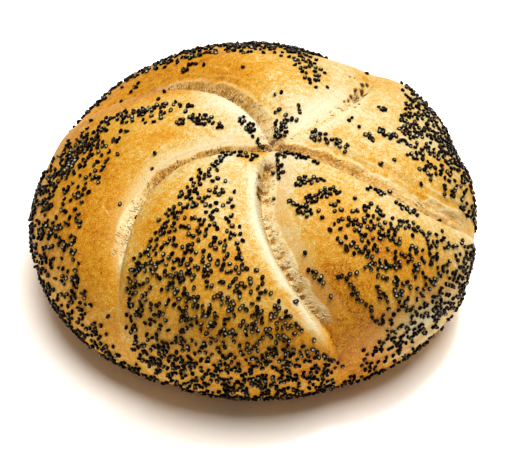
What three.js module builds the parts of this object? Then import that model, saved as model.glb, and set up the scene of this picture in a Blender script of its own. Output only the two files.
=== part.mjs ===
import * as THREE from 'three';

// A round kaiser roll that rests on its flat base. Millimetres, +Z up, origin at the middle
// of the base. A plain dome is turned on a lathe. Each of its points is then moved along the
// dome's own normal: out where a petal of dough swells, in where a groove parts two petals.
//
// A place on the crust is given by its way and its column. The way is 0 at the hub, where the
// grooves meet, hubToRim at the widest ring, baseEdge at the edge of the flat base, and
// baseMiddle at the middle of the base. A column is a petal and a share of the way across it.

// the plain dome
const domeRadius = 46.1; // of its widest ring
const domeHeight = 40.2;
const widestRingHeight = 13.6; // above the base
const baseRadius = 33; // of the flat face below
const topSquareness = 2.15; // exponents of the superellipses above and below the widest ring
const undersideSquareness = 2;
const hubOffset = new THREE.Vector2(4.2, -6); // of the grooves' meeting point from the axis

// stations of the way
const hubToRim = 1;
const baseEdge = 1.6;
const baseMiddle = 2;

// The grooves, anticlockwise from the right. turn is the angle in degrees, anticlockwise from
// +X, at equal steps of the way from the hub to the widest ring. A groove opens between the
// first two of runs and closes between the last two. A steep lip stands on its clockwise side
// (lip -1) or its anticlockwise side (lip +1), and a torn band of dough lies beside the lip.
// climb is the share of the depth that the band has climbed at its far side, where a flank
// leads on to the next petal. bend is how round the flank is at its foot.
const grooves = [
  {
    turn: [42, 47, 55, 57], depth: 2.2, runs: [-0.1, 0, 0.3, 0.75],
    lip: -1, band: 1.6, climb: 0.35, flank: 5.0, bend: 1.35,
  },
  {
    turn: [100, 121, 140, 160], depth: 4.0, runs: [-0.1, 0, 0.45, 1],
    lip: 1, band: 2.7, climb: 0.5, flank: 5.5, bend: 1.35,
  },
  {
    turn: [182, 187, 209.5, 226, 236], depth: 3.8, runs: [-0.1, 0, 0.38, 0.86],
    lip: 1, band: 2.3, climb: 0.46, flank: 7.0, bend: 1.2,
  },
  {
    turn: [245, 268.8, 284.5, 291], depth: 4.0, runs: [0.01, 0.12, 0.5, 1],
    lip: -1, band: 2.5, climb: 0.3, flank: 6.0, bend: 1.0,
  },
  {
    turn: [348, 336.5, 342, 350], depth: 3.5, runs: [-0.1, 0, 0.55, 1],
    lip: -1, band: 3.5, climb: 0.42, flank: 5.0, bend: 1.35,
  },
];

// Petal k lies between groove k and the next one. swell is how far its crest stands out of the
// dome on top and rim how far at the widest ring, and crest is where the crest lies across it.
const petals = [
  { swell: 3.0, rim: 3.4, crest: 0.72 },
  { swell: 1.4, rim: 1.2, crest: 0.34 },
  { swell: 2.4, rim: 0.3, crest: 0.54 },
  { swell: 2.3, rim: 1.2, crest: 0.58 },
  { swell: 0.4, rim: -4.2, crest: 0.36 },
];
const archPower = 2.4; // of the cushion on top: 2 is a parabola across the petal, more is fuller
const swellStations = [0, 0.42, 0.7, 1.05]; // rises between the first two, ends between the others
const rimStations = [0.7, 1.05, 1.15, 1.6];

// Broad dents around the outline, and bulges where the depth is negative. turn is the angle of
// the middle, and reach the degrees in which a dent dies down.
const dents = [
  { turn: 15, depth: 1.6, reach: 10 },
  { turn: 48, depth: -1.55, reach: 9 },
  { turn: 73, depth: 1.1, reach: 9 },
  { turn: 154, depth: -1.0, reach: 9 },
];
const dentStations = [0.35, 0.85, 1.2, 1.6];

// the groove's cross-section
const lipWidth = 0.8; // from the groove's line to the middle of the lip's wall
const lipSoftness = 0.3;
const lipShoulder = 0.22; // share of the depth that the lip's rounded shoulder takes
const shoulderReach = 3.2;
const shoulderPower = 1.5;
const hubShare = 0.95; // of the full depth at the hub
const hubReach = 0.22; // way at which the grooves have their full depth
const blendPower = 6; // grooves that meet share one floor, and more makes the corners crisper

// the mesh
const differenceStep = 0.001; // of the way, for slopes
const columnsPerPetal = 20;
const columnSqueeze = 0.6; // gathers the columns at the grooves: 0 spaces them evenly
const topRings = 32;
const undersideRings = 8;

const { degToRad, euclideanModulo, lerp, smoothstep } = THREE.MathUtils;

// 0 before the first station, 1 between the second and third, 0 after the fourth
function plateau(x, [start, full, fading, gone]) {
  return smoothstep(x, start, full) * (1 - smoothstep(x, fading, gone));
}

// a smooth curve through values that stand at equal steps from 0 to 1
function throughValues(values, x) {
  const last = values.length - 1;
  let sum = 0;
  for (let i = 0; i <= last; i += 1) {
    let weight = 1;
    for (let j = 0; j <= last; j += 1) {
      if (j !== i) weight *= (x * last - j) / (i - j);
    }
    sum += weight * values[i];
  }
  return sum;
}

// radius and height of the plain dome
function domePoint(way) {
  if (way >= baseEdge) {
    const share = (baseMiddle - way) / (baseMiddle - baseEdge);
    return new THREE.Vector2(baseRadius * share, 0);
  }
  if (way > hubToRim) {
    const angle = ((way - hubToRim) / (baseEdge - hubToRim)) * (Math.PI / 2);
    const out = Math.cos(angle) ** (2 / undersideSquareness);
    const down = Math.sin(angle) ** (2 / undersideSquareness);
    return new THREE.Vector2(lerp(baseRadius, domeRadius, out), widestRingHeight * (1 - down));
  }
  const angle = (way / hubToRim) * (Math.PI / 2);
  const out = Math.sin(angle) ** (2 / topSquareness);
  const up = Math.max(Math.cos(angle), 0) ** (2 / topSquareness);
  return new THREE.Vector2(domeRadius * out, lerp(widestRingHeight, domeHeight, up));
}

// how far the dome's outline runs for each unit of the way, outwards and upwards
function domeSlope(way) {
  if (way < differenceStep) return new THREE.Vector2(domePoint(differenceStep).x / differenceStep, 0);
  const run = domePoint(way + differenceStep).sub(domePoint(way - differenceStep));
  return run.divideScalar(2 * differenceStep);
}

function grooveAngle(groove, way) {
  return degToRad(throughValues(groove.turn, Math.min(way, 1.15)));
}

// share of a groove's depth at a distance from its line, positive on the anticlockwise side
function grooveSection(groove, distance) {
  const away = Math.abs(distance);
  if (distance * groove.lip > 0) {
    const wall = (x) => 1 / (1 + Math.exp((x - lipWidth) / lipSoftness));
    const shoulder = Math.exp(-((away / shoulderReach) ** shoulderPower));
    return (1 - lipShoulder) * (wall(away) / wall(0)) + lipShoulder * shoulder;
  }
  if (away < groove.band) return 1 - groove.climb * (away / groove.band);
  return (1 - groove.climb) * Math.exp(-(((away - groove.band) / groove.flank) ** groove.bend));
}

// how deep the grooves are at a place, all of them together
function grooveDepth(way, angle) {
  const radius = domePoint(way).x;
  const outlineRun = domeSlope(way).length();
  const hubDepth = lerp(hubShare, 1, smoothstep(way, 0, hubReach));
  let sum = 0;
  for (const groove of grooves) {
    const turn = grooveAngle(groove, way + differenceStep) - grooveAngle(groove, way - differenceStep);
    const turnRun = turn / (2 * differenceStep);
    const slant = outlineRun / Math.hypot(outlineRun, turnRun * radius);
    const apart = angleApart(angle, grooveAngle(groove, way));
    const fullDepth = groove.depth * hubDepth * plateau(way, groove.runs);
    sum += (fullDepth * grooveSection(groove, apart * radius * slant)) ** blendPower;
  }
  return sum ** (1 / blendPower);
}

function angleApart(a, b) {
  return euclideanModulo(a - b + Math.PI, 2 * Math.PI) - Math.PI;
}

function dentDepth(way, angle) {
  let sum = 0;
  for (const dent of dents) {
    const apart = angleApart(angle, degToRad(dent.turn)) / degToRad(dent.reach);
    sum += dent.depth * Math.exp(-(apart ** 2));
  }
  return sum * plateau(way, dentStations);
}

function petalHeight(petal, way, across) {
  const { crest } = petal;
  const fromCrest = across < crest ? (crest - across) / crest : (across - crest) / (1 - crest);
  const cushion = (1 - fromCrest ** archPower) * plateau(way, swellStations);
  const lobe = (1 - fromCrest ** 2) ** 2 * plateau(way, rimStations);
  return petal.swell * cushion + petal.rim * lobe;
}

function crustPoint(way, petalIndex, across) {
  const start = grooveAngle(grooves[petalIndex], way);
  const end = grooveAngle(grooves[(petalIndex + 1) % grooves.length], way);
  const angle = start + across * euclideanModulo(end - start, 2 * Math.PI);
  const dome = domePoint(way);
  const slope = domeSlope(way).normalize();
  const flatten = 1 - smoothstep(way, 1.25, baseEdge); // the base stays flat
  const raised = petalHeight(petals[petalIndex], way, across);
  const lowered = grooveDepth(way, angle) + dentDepth(way, angle);
  const move = (raised - lowered) * flatten;
  const radius = dome.x - slope.y * move;
  const shift = Math.max(1 - way ** 2, 0); // the hub lies off the axis, the rim doesn't
  return new THREE.Vector3(
    hubOffset.x * shift + radius * Math.cos(angle),
    hubOffset.y * shift + radius * Math.sin(angle),
    dome.y + slope.x * move,
  );
}

// the way at each ring, from the middle of the base up to the hub
function ringWays() {
  const ways = [baseMiddle];
  for (let i = 0; i < undersideRings; i += 1) {
    ways.push(lerp(baseEdge, hubToRim, i / undersideRings));
  }
  for (let i = 0; i <= topRings; i += 1) {
    ways.push(lerp(hubToRim, 0, i / topRings));
  }
  return ways;
}

function columnPlace(column) {
  const petalIndex = Math.floor(column / columnsPerPetal) % petals.length;
  const even = (column % columnsPerPetal) / columnsPerPetal;
  const across = even - (columnSqueeze * Math.sin(2 * Math.PI * even)) / (2 * Math.PI);
  return { petalIndex, across };
}

function rollGeometry() {
  const ways = ringWays();
  const columns = petals.length * columnsPerPetal;
  const geometry = new THREE.LatheGeometry(ways.map(domePoint), columns);
  const position = geometry.getAttribute('position');
  for (let column = 0; column <= columns; column += 1) {
    const { petalIndex, across } = columnPlace(column);
    ways.forEach((way, ring) => {
      const point = crustPoint(way, petalIndex, across);
      position.setXYZ(column * ways.length + ring, point.x, point.y, point.z);
    });
  }
  geometry.computeVertexNormals();
  return geometry;
}

const crust = new THREE.MeshStandardMaterial({ color: 0xe0a04a, roughness: 0.62, metalness: 0 });
const roll = new THREE.Mesh(rollGeometry(), crust);
roll.name = 'roll';

const kaiserRoll = new THREE.Group();
kaiserRoll.name = 'kaiserRoll';
kaiserRoll.add(roll);

export default kaiserRoll;
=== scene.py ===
import math

import bmesh
import bpy
import numpy as np
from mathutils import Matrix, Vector
from mathutils.kdtree import KDTree


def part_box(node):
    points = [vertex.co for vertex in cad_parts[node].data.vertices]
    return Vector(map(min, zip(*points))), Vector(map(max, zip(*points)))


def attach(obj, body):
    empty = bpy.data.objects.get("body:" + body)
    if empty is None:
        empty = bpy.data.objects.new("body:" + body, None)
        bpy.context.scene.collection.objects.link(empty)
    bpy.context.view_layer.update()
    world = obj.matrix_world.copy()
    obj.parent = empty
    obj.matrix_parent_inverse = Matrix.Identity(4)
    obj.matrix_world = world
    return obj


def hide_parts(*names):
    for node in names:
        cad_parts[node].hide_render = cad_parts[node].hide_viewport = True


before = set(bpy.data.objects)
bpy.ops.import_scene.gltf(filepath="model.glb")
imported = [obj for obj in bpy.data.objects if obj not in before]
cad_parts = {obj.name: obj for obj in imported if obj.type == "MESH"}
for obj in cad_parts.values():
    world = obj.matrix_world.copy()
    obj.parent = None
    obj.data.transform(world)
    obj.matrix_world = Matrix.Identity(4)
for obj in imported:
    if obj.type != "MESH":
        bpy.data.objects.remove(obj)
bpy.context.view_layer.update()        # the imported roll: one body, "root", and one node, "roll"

# A poppy-seed kaiser roll. Shapes are worked out in millimetres and scaled as they become meshes.
# A place on the crust is a way (0 at the hub where the grooves meet, 1 at the widest ring, 1.6 at
# the edge of the flat base, 2 in its middle), a petal, and a share of the way across that petal.
metresPerMillimetre = 0.001
lowCorner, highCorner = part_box("roll")
rollHeight = (highCorner.z - lowCorner.z) / metresPerMillimetre
rollWidth = (highCorner.x - lowCorner.x) / metresPerMillimetre

studioBrightness = 2.3       # how bright a white card on the table looks, 1 being plain white


def toned(red, green, blue):
    # the finish that looks like this colour, 0 to 255, when it lies level in the studio's light
    def channel(value):
        share = value / 255
        linear = share / 12.92 if share <= 0.04045 else ((share + 0.055) / 1.055) ** 2.4
        return linear / studioBrightness
    return (channel(red), channel(green), channel(blue), 1.0)


def smoothStep(x, start, end):
    share = np.clip((x - start) / (end - start), 0, 1)
    return share * share * (3 - 2 * share)


def plateau(x, stations):
    # 0 before the first station, 1 between the second and third, 0 after the fourth
    start, full, fading, gone = stations
    return smoothStep(x, start, full) * (1 - smoothStep(x, fading, gone))


def hump(x, middle, width):
    return np.exp(-(((x - middle) / width) ** 2))


latticeSize = 64
lattices = {}


def lumps(seed, x, y, z=0.0):
    # smooth noise from -1 to 1, about one lump for each whole step of x, y and z
    if seed not in lattices:
        lattices[seed] = np.random.default_rng(seed).uniform(-1, 1, (latticeSize,) * 3)
    lattice = lattices[seed]
    place = np.stack(np.broadcast_arrays(x, y, z), axis=-1).astype(float)
    cell = np.floor(place).astype(int)
    part = place - cell
    part = part * part * (3 - 2 * part)
    total = 0
    for corner in np.ndindex(2, 2, 2):
        weight = np.prod(np.where(np.array(corner) == 1, part, 1 - part), axis=-1)
        index = (cell + corner) % latticeSize
        total = total + weight * lattice[index[..., 0], index[..., 1], index[..., 2]]
    return total


print("camera, light and table")

view = {
    "elevation": 43.4,       # degrees above the table
    "distance": 0.600,       # metres
    "aim": (0.00103, -0.00767, 0.0180),
    "lens": 199.8,           # millimetres, as the sensor
    "sensor": 36.0,
}


def addCamera():
    camera = bpy.data.objects.new("camera", bpy.data.cameras.new("camera"))
    bpy.context.scene.collection.objects.link(camera)
    rise = math.radians(view["elevation"])
    back = Vector((0, -math.cos(rise), math.sin(rise)))
    camera.location = Vector(view["aim"]) + back * view["distance"]
    camera.rotation_euler = back.to_track_quat("Z", "Y").to_euler()
    camera.data.lens = view["lens"]
    camera.data.sensor_width = view["sensor"]
    camera.data.clip_end = 10
    bpy.context.scene.camera = camera


studio = {
    "skyStrength": 0.27,
    "skyColor": (1.0, 0.84, 0.64, 1.0),
    "lamps": [               # name, place in metres, size in metres, watts, colour
        ("softbox", (0.09, 0.085, 0.85), 0.85, 15.5, (1.0, 0.985, 0.96)),
        ("lamp", (0.17, 0.14, 0.87), 0.12, 4.5, (1.0, 0.985, 0.96)),
    ],
    "tableSize": 4.0,
    "tableColor": (0.95, 0.91, 0.87, 1.0),
}


def addLights():
    world = bpy.data.worlds.new("sky")
    world.use_nodes = True
    background = world.node_tree.nodes["Background"]
    background.inputs["Color"].default_value = studio["skyColor"]
    background.inputs["Strength"].default_value = studio["skyStrength"]
    bpy.context.scene.world = world
    for name, place, size, watts, color in studio["lamps"]:
        data = bpy.data.lights.new(name, "AREA")
        data.shape = "DISK"
        data.size = size
        data.energy = watts
        data.color = color
        lamp = bpy.data.objects.new(name, data)
        lamp.location = place
        lamp.rotation_euler = Vector(place).to_track_quat("Z", "Y").to_euler()
        bpy.context.scene.collection.objects.link(lamp)


def addTable():
    half = studio["tableSize"] / 2
    mesh = bpy.data.meshes.new("table")
    corners = [(-half, -half, 0), (half, -half, 0), (half, half, 0), (-half, half, 0)]
    mesh.from_pydata(corners, [], [(0, 1, 2, 3)])
    table = bpy.data.objects.new("table", mesh)
    table.location.z = -0.0001
    bpy.context.scene.collection.objects.link(table)
    material = bpy.data.materials.new("paleTable")
    material.use_nodes = True
    shader = material.node_tree.nodes["Principled BSDF"]
    shader.inputs["Base Color"].default_value = studio["tableColor"]
    shader.inputs["Roughness"].default_value = 0.9
    mesh.materials.append(material)


addCamera()
addLights()
addTable()
bpy.context.scene.view_settings.view_transform = "Standard"

print("shape of the dough")

dome = {
    "height": rollHeight,
    "radius": 0.4962 * rollWidth,        # of the widest ring, before the petals swell
    "widestHeight": 0.3385 * rollHeight,
    "baseRadius": 0.3552 * rollWidth,    # of the flat face below
    "topSquareness": 2.15,
    "undersideSquareness": 2.0,
    "hubOffset": (4.2, -6.0),            # of the grooves' meeting point from the axis
    "baseEdge": 1.6,
    "baseMiddle": 2.0,
    "flattening": 1.25,                  # way from which the relief dies down towards the base
}

# What a groove has unless it says otherwise. Lengths are in millimetres, stations are ways.
plainGroove = {
    "lip": -1,                   # the side that stands proud: -1 clockwise, 1 anticlockwise
    "bend": 1.35,                # how round the flank's foot is
    "ridge": 0.0,                # height of the fold at the band's far side
    "crest": 0.0,                # how pale that fold is
    "powder": 0.0,               # how white the flank is where it is dusted
    "tan": 0.0,                  # share of a tan tone in its flour
    "scar": (0.0, 0.50, 0.90),   # how pale the groove's line is, and the ways between which it is so
    "creases": (),               # pale folds on the flank, as distance from the groove and paleness
}

# The grooves, anticlockwise from the right.
# turn: degrees anticlockwise from +X, at equal steps of the way from the hub to the widest ring.
# runs: the groove opens between the first two stations and closes between the last two.
# band: width of the torn dough beside the lip. climb: share of the depth that the band climbs.
# flank: width of the slope from there to the next petal.
# tear: the torn dough begins between the first two stations and ends between the last two.
# grain: which way its fibres run. crumb: height of its lumps. rough: how mottled it is away from
# the lip. comb: strength of the notches under the lip, and of the painted shade that darkens them and
# the holes in the torn band. streak: height of the drawn-out folds on the flank. toast: how brown the
# torn dough is near the hub and beyond, and the ways between which that changes. flour: how pale the
# flank is, and the distances between which it turns golden.
# edging: how pale the lip's edge is, the ways between which that fades, and the edge's width.
# strands: how many loose fibres there are, their length and how high they stand.
grooves = [plainGroove | groove for groove in (
    {"turn": (42, 47, 55, 57), "depth": 2.2, "runs": (-0.1, 0.0, 0.30, 0.75), "band": 1.6,
     "climb": 0.35, "flank": 5.0, "tear": (0.04, 0.10, 0.34, 0.46), "grain": "along",
     "crumb": 0.07, "rough": 0.7, "comb": 0.15, "streak": 0.10, "ridge": 0.06, "crest": 0.5,
     "toast": (0.24, 0.06, 0.15, 0.30), "flour": (1.0, 3.0, 7.0), "powder": 0.9,
     "edging": (0.60, 0.34, 0.50, 1.2), "creases": ((2.4, 0.4), (3.6, 0.3)),
     "strands": (40, 2.0, 0.08)},
    {"turn": (100, 121, 140, 160), "depth": 4.0, "runs": (-0.1, 0.0, 0.45, 1.0), "band": 2.7,
     "lip": 1, "climb": 0.50, "flank": 5.5, "tear": (0.01, 0.06, 0.44, 0.62), "grain": "across",
     "crumb": 0.09, "rough": 0.9, "comb": 0.6, "streak": 0.10, "ridge": 0.08, "crest": 0.35,
     "toast": (0.14, 0.60, 0.10, 0.30), "flour": (0.12, 2.4, 3.8),
     "edging": (0.9, 0.16, 0.46, 1.9), "creases": ((4.6, 0.25),), "strands": (150, 1.3, 0.15)},
    {"turn": (182, 187, 209.5, 226, 236), "depth": 3.8, "runs": (-0.1, 0.0, 0.38, 0.86),
     "lip": 1, "band": 2.3, "climb": 0.46, "flank": 7.0, "bend": 1.2,
     "tear": (-0.02, 0.0, 0.50, 0.66), "grain": "across", "crumb": 0.10, "rough": 0.9,
     "comb": 0.7, "streak": 0.12, "ridge": 0.05, "crest": 0.35,
     "toast": (0.62, 0.12, 0.34, 0.44), "flour": (0.65, 3.0, 6.0),
     "edging": (0.8, 0.34, 0.60, 0.40), "creases": ((3.4, 0.35), (5.4, 0.2)),
     "scar": (0.9, 0.44, 0.80), "strands": (130, 0.9, 0.10)},
    {"turn": (245, 268.8, 284.5, 291), "depth": 4.0, "runs": (0.01, 0.12, 0.50, 1.0),
     "band": 2.5, "climb": 0.30, "flank": 6.0, "bend": 1.0, "tear": (0.035, 0.07, 0.60, 0.74),
     "grain": "across", "crumb": 0.06, "rough": 0.50, "comb": 1.0, "streak": 0.05,
     "toast": (0.14, 0.10, 0.15, 0.40), "flour": (0.70, 4.4, 6.0), "tan": 1.0,
     "edging": (1.0, 0.68, 0.88, 1.35), "strands": (110, 0.8, 0.08)},
    {"turn": (348, 336.5, 342, 350), "depth": 3.5, "runs": (-0.1, 0.0, 0.55, 1.0), "band": 3.5,
     "climb": 0.42, "flank": 5.0, "tear": (-0.02, 0.0, 0.66, 0.86), "grain": "along",
     "crumb": 0.07, "rough": 0.9, "comb": 0.4, "streak": 0.28, "ridge": 0.20, "crest": 0.65,
     "toast": (0.62, 0.38, 0.12, 0.40), "flour": (0.30, 1.5, 4.0),
     "edging": (0.15, 0.30, 0.60, 0.6), "creases": ((5.0, 0.75), (6.8, 0.5)),
     "strands": (40, 3.0, 0.05)},
)]

# Petal k lies between groove k and the next one. swell and rim: how far its crest stands out on
# top and at the widest ring. crest: where the crest lies across it.
petals = [
    {"swell": 3.0, "rim": 3.4, "crest": 0.72},
    {"swell": 1.4, "rim": 1.2, "crest": 0.34},
    {"swell": 2.4, "rim": 0.3, "crest": 0.54},
    {"swell": 2.3, "rim": 1.2, "crest": 0.58},
    {"swell": 0.4, "rim": -4.2, "crest": 0.36},
]

relief = {
    "archPower": 2.4,        # of the cushion: 2 is a parabola across the petal, more is fuller
    "swellStations": (0.0, 0.42, 0.70, 1.05),
    "rimStations": (0.70, 1.05, 1.15, 1.60),
    "lipWidth": 0.8,         # from the groove's line to the middle of the lip's wall
    "lipSoftness": 0.30,
    "lipShoulder": 0.22,     # share of the depth that the lip's rounded shoulder takes
    "shoulderReach": 3.2,
    "shoulderPower": 1.5,
    "hubShare": 0.95,        # of the full depth at the hub
    "hubReach": 0.22,        # way at which the grooves have their full depth
    "hubTorn": (0.0, 0.12),  # ways between which the torn dough's relief begins
    "hubToast": (0.84, 0.04, 0.10),    # how brown it is at the hub, and the ways between which that ends
    "pastHub": 0.36,         # how fast a torn band ends on the far side of the hub
    "blendPower": 6,         # grooves that meet share one floor, and more makes the corners crisper
    # dents around the outline, and bulges where the depth is negative: middle in degrees, depth
    # in millimetres, and the degrees in which a dent dies down
    "dents": [(15, 1.6, 10), (48, -1.55, 9), (73, 1.1, 9), (154, -1.0, 9)],
    "dentStations": (0.35, 0.85, 1.20, 1.60),
    "waves": [(11.0, 0.34), (4.2, 0.10), (1.7, 0.035)],   # size and height of the crust's lumps
    "slopeStep": 0.001,
}


def domePoint(way):
    # radius and height of the plain dome
    top = np.clip(way, 0, 1) * math.pi / 2
    topPower = 2 / dome["topSquareness"]
    topRadius = dome["radius"] * np.sin(top) ** topPower
    rise = np.clip(np.cos(top), 0, 1) ** topPower
    topHeight = dome["widestHeight"] + (dome["height"] - dome["widestHeight"]) * rise
    side = np.clip((way - 1) / (dome["baseEdge"] - 1), 0, 1) * math.pi / 2
    sidePower = 2 / dome["undersideSquareness"]
    sideOut = np.clip(np.cos(side), 0, 1) ** sidePower
    sideRadius = dome["baseRadius"] + (dome["radius"] - dome["baseRadius"]) * sideOut
    sideHeight = dome["widestHeight"] * (1 - np.sin(side) ** sidePower)
    inward = np.clip((dome["baseMiddle"] - way) / (dome["baseMiddle"] - dome["baseEdge"]), 0, 1)
    onSide = way < dome["baseEdge"]
    radius = np.where(way <= 1, topRadius, np.where(onSide, sideRadius, dome["baseRadius"] * inward))
    height = np.where(way <= 1, topHeight, np.where(onSide, sideHeight, 0.0))
    return radius, height


def domeSlope(way):
    # how far the dome's outline runs outwards and upwards for each unit of the way
    step = relief["slopeStep"]
    ahead = domePoint(way + step)
    behind = domePoint(np.maximum(way - step, 0))
    span = step + np.minimum(way, step)
    out = (ahead[0] - behind[0]) / span
    up = np.where(way < step, 0.0, (ahead[1] - behind[1]) / span)
    return out, up


def throughValues(values, x):
    # a smooth curve through values that stand at equal steps from 0 to 1
    last = len(values) - 1
    total = 0
    for i, value in enumerate(values):
        weight = 1
        for j in range(last + 1):
            if j != i:
                weight = weight * (x * last - j) / (i - j)
        total = total + weight * value
    return total


def grooveAngle(groove, way):
    return np.radians(throughValues(groove["turn"], np.minimum(way, 1.15)))


def wrapAngle(angle):
    return (angle + math.pi) % (2 * math.pi) - math.pi


def grooveRun(groove, way):
    # length of the groove for each unit of the way, and its outline's share of that length
    step = relief["slopeStep"]
    turn = (grooveAngle(groove, way + step) - grooveAngle(groove, way - step)) / (2 * step)
    outline = np.hypot(*domeSlope(way))
    run = np.hypot(outline, turn * domePoint(way)[0])
    return run, outline / run


stations = np.linspace(0, 2, 401)
for groove in grooves:
    steps = grooveRun(groove, (stations[1:] + stations[:-1]) / 2)[0] * (stations[1] - stations[0])
    groove["lengths"] = np.concatenate([[0], np.cumsum(steps)])


def grooveSection(groove, aside):
    # share of the groove's depth at a distance from its line
    away = np.abs(aside)
    wall = 1 / (1 + np.exp((away - relief["lipWidth"]) / relief["lipSoftness"]))
    wallTop = 1 / (1 + math.exp(-relief["lipWidth"] / relief["lipSoftness"]))
    shoulder = np.exp(-((away / relief["shoulderReach"]) ** relief["shoulderPower"]))
    lip = (1 - relief["lipShoulder"]) * wall / wallTop + relief["lipShoulder"] * shoulder
    floor = 1 - groove["climb"] * away / groove["band"]
    beyond = np.maximum(away - groove["band"], 0) / groove["flank"]
    slope = (1 - groove["climb"]) * np.exp(-(beyond ** groove["bend"]))
    return np.where(aside > 0, lip, np.where(away < groove["band"], floor, slope))


# unevenness of the torn dough: the random seed of the first groove, and the size of the lumps in
# millimetres, along the groove and, where they also change aside of it, that way
unevenness = {
    "ragged": (50, 2.6), "wavy": (95, 1.1), "folded": (90, 1.4),
    "blotchy": (85, 2.2, 1.3), "bent": (65, 1.3, 1.1), "notched": (97, 0.62, 2.2),
    "fibres": (60, 0.62, 1.5), "fineFibres": (70, 0.30, 0.7),
    "streaks": (100, 9, 0.75), "fineStreaks": (110, 5, 0.4),
    "crumbs": (120, 0.42, 0.42), "lumpy": (125, 1.1, 1.1),
}

tornRelief = {
    "wander": 0.3,               # of the band's far side, as a share of the band's width
    "underLip": (0.45, 0.95),    # distances between which the band ends below the lip
    "bending": 0.9,              # how far the fibres are pushed out of line
    "notchDepth": 0.20,
    "foldWidth": 0.38,
    "lipRoll": 0.12,             # height of the rolled edge on top of the lip
    "lipCrumb": 0.14,            # height of the crumbs along that edge
    "lipTop": (1.5, 0.9),        # middle and width of that edge
    "creaseHeight": 0.16,
    "creaseWidth": 0.30,
    "creaseWander": 0.9,
}


def uneven(kind, number, along, aside):
    seed, length, *width = unevenness[kind]
    return lumps(seed + number, along / length, aside / width[0] if width else 0.5)


def paleCreases(number, groove, torn, aside, along):
    # height and paleness of the folds on a groove's flank
    rise = creased = np.zeros(torn.shape)
    for order, (distance, paleness) in enumerate(groove["creases"]):
        seed = 140 + 10 * number + order
        path = -distance + tornRelief["creaseWander"] * lumps(seed, along / 6, 0.5)
        broken = np.clip(0.6 + lumps(seed + 5, along / 4, 0.5), 0, 1)
        crease = torn * hump(aside, path, tornRelief["creaseWidth"]) * broken
        rise = rise + tornRelief["creaseHeight"] * crease
        creased = np.maximum(creased, paleness * crease)
    return rise, creased


def paleEdge(groove, way, aside, ragged, crumbly):
    # the floury edge of the lip, from where the groove has opened
    pale, fading, faded, width = groove["edging"]
    middle = 0.6 + 0.9 * width + 0.25 * ragged + 0.2 * crumbly
    opened = max(groove["runs"][1], 0.08)
    shown = smoothStep(way, opened - 0.04, opened + 0.02) * (1 - smoothStep(way, fading, faded))
    return hump(aside, middle, width + 0.35 * crumbly) * pale * shown


def toastAt(groove, way):
    # how brown the torn dough is
    nearToast, farToast, turning, turned = groove["toast"]
    return nearToast + (farToast - nearToast) * smoothStep(way, turning, turned)


def flourDust(groove, way, aside, ragged):
    # flour on the flank, up to where it turns golden
    _, flouredTo, goldenFrom = groove["flour"]
    ends = groove["tear"][3]
    dusted = plateau(way, (0.02, 0.12, ends - 0.25, ends)) * smoothStep(-aside, 0.2, 1.2)
    return dusted * (1 - smoothStep(-aside, flouredTo, goldenFrom + 0.8 * ragged))


def tornDough(number, groove, way, aside, along):
    # relief and looks of one groove's torn band, its lip and its flank
    def at(kind, x=along, y=aside):
        return uneven(kind, number, x, y)

    ragged, blotchy = at("ragged"), at("blotchy")
    crumbly = at("crumbs") + 0.5 * at("lumpy")

    # the band, with its fibres, and with notches under the lip
    torn = plateau(way, groove["tear"])
    farSide = -groove["band"] * (1 + tornRelief["wander"] * ragged)
    band = smoothStep(aside, farSide - 0.3, farSide + 0.4)
    band = torn * band * (1 - smoothStep(aside, *tornRelief["underLip"]))
    fine, coarse = (along, aside) if groove["grain"] == "across" else (aside, along)
    bent = fine + tornRelief["bending"] * at("bent")
    fibres = at("fibres", bent, coarse) + 0.6 * at("fineFibres", bent, coarse)
    rough = groove["rough"] + (1 - groove["rough"]) * hump(aside, 0.2, 1.0)
    rise = groove["crumb"] * rough * band * fibres
    notches = smoothStep(at("notched"), 0.0, 0.4) * hump(aside, -0.3, 1.1 + 0.5 * ragged)
    rise = rise - torn * tornRelief["notchDepth"] * groove["comb"] * notches
    lipEdge = tornRelief["lipRoll"] + tornRelief["lipCrumb"] * rough * crumbly
    rise = rise + torn * lipEdge * hump(aside, *tornRelief["lipTop"])

    # the fold at the band's far side, and the streaks and creases on the flank
    wavy = farSide - 0.25 + 0.35 * at("wavy")
    fold = hump(aside, wavy, tornRelief["foldWidth"]) * (0.8 + 0.8 * at("folded"))
    flank = smoothStep(-aside, 0.6, 2.4) * (1 - smoothStep(-aside, groove["flank"], groove["flank"] + 5))
    streaks = flank * (at("streaks") + 0.6 * at("fineStreaks"))
    creaseRise, creased = paleCreases(number, groove, torn, aside, along)
    rise = rise + torn * (groove["ridge"] * fold + groove["streak"] * streaks + creaseRise)

    # flour, and the pale scar where the groove runs out
    dusted = flourDust(groove, way, aside, ragged)
    edge = paleEdge(groove, way, aside, ragged, crumbly)
    scar, scarFrom, scarTo = groove["scar"]
    scarred = scar * hump(aside, -0.2, 0.8 + 0.3 * ragged)
    scarred = scarred * plateau(way, (scarFrom - 0.1, scarFrom, scarTo - 0.2, scarTo))
    scarred = scarred * np.clip(0.75 + 0.5 * blotchy + 0.4 * crumbly, 0, 1)
    crested = torn * groove["crest"] * np.clip(fold, 0, 1)
    looks = {
        "torn": band,
        # gap: where painted shade darkens the holes between the torn fibres
        "gap": band * groove["comb"] * (0.15 + 0.85 * hump(aside, 0.1, 0.9)),
        "rough": band * rough,
        # painted shade below the lip, in its notches and along the band's edge
        "paintedShadeUnderLip": torn * groove["comb"] * np.clip(notches + 0.6 * hump(aside, 0.45, 0.35), 0, 1),
        "edge": np.maximum.reduce([crested, edge, scarred, creased, groove["powder"] * dusted]),
        "toast": band * (toastAt(groove, way) + 0.14 * blotchy),
        "flour": groove["flour"][0] * dusted,
        "tan": groove["tan"] * dusted,
    }
    return rise, looks, fine, coarse


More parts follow.
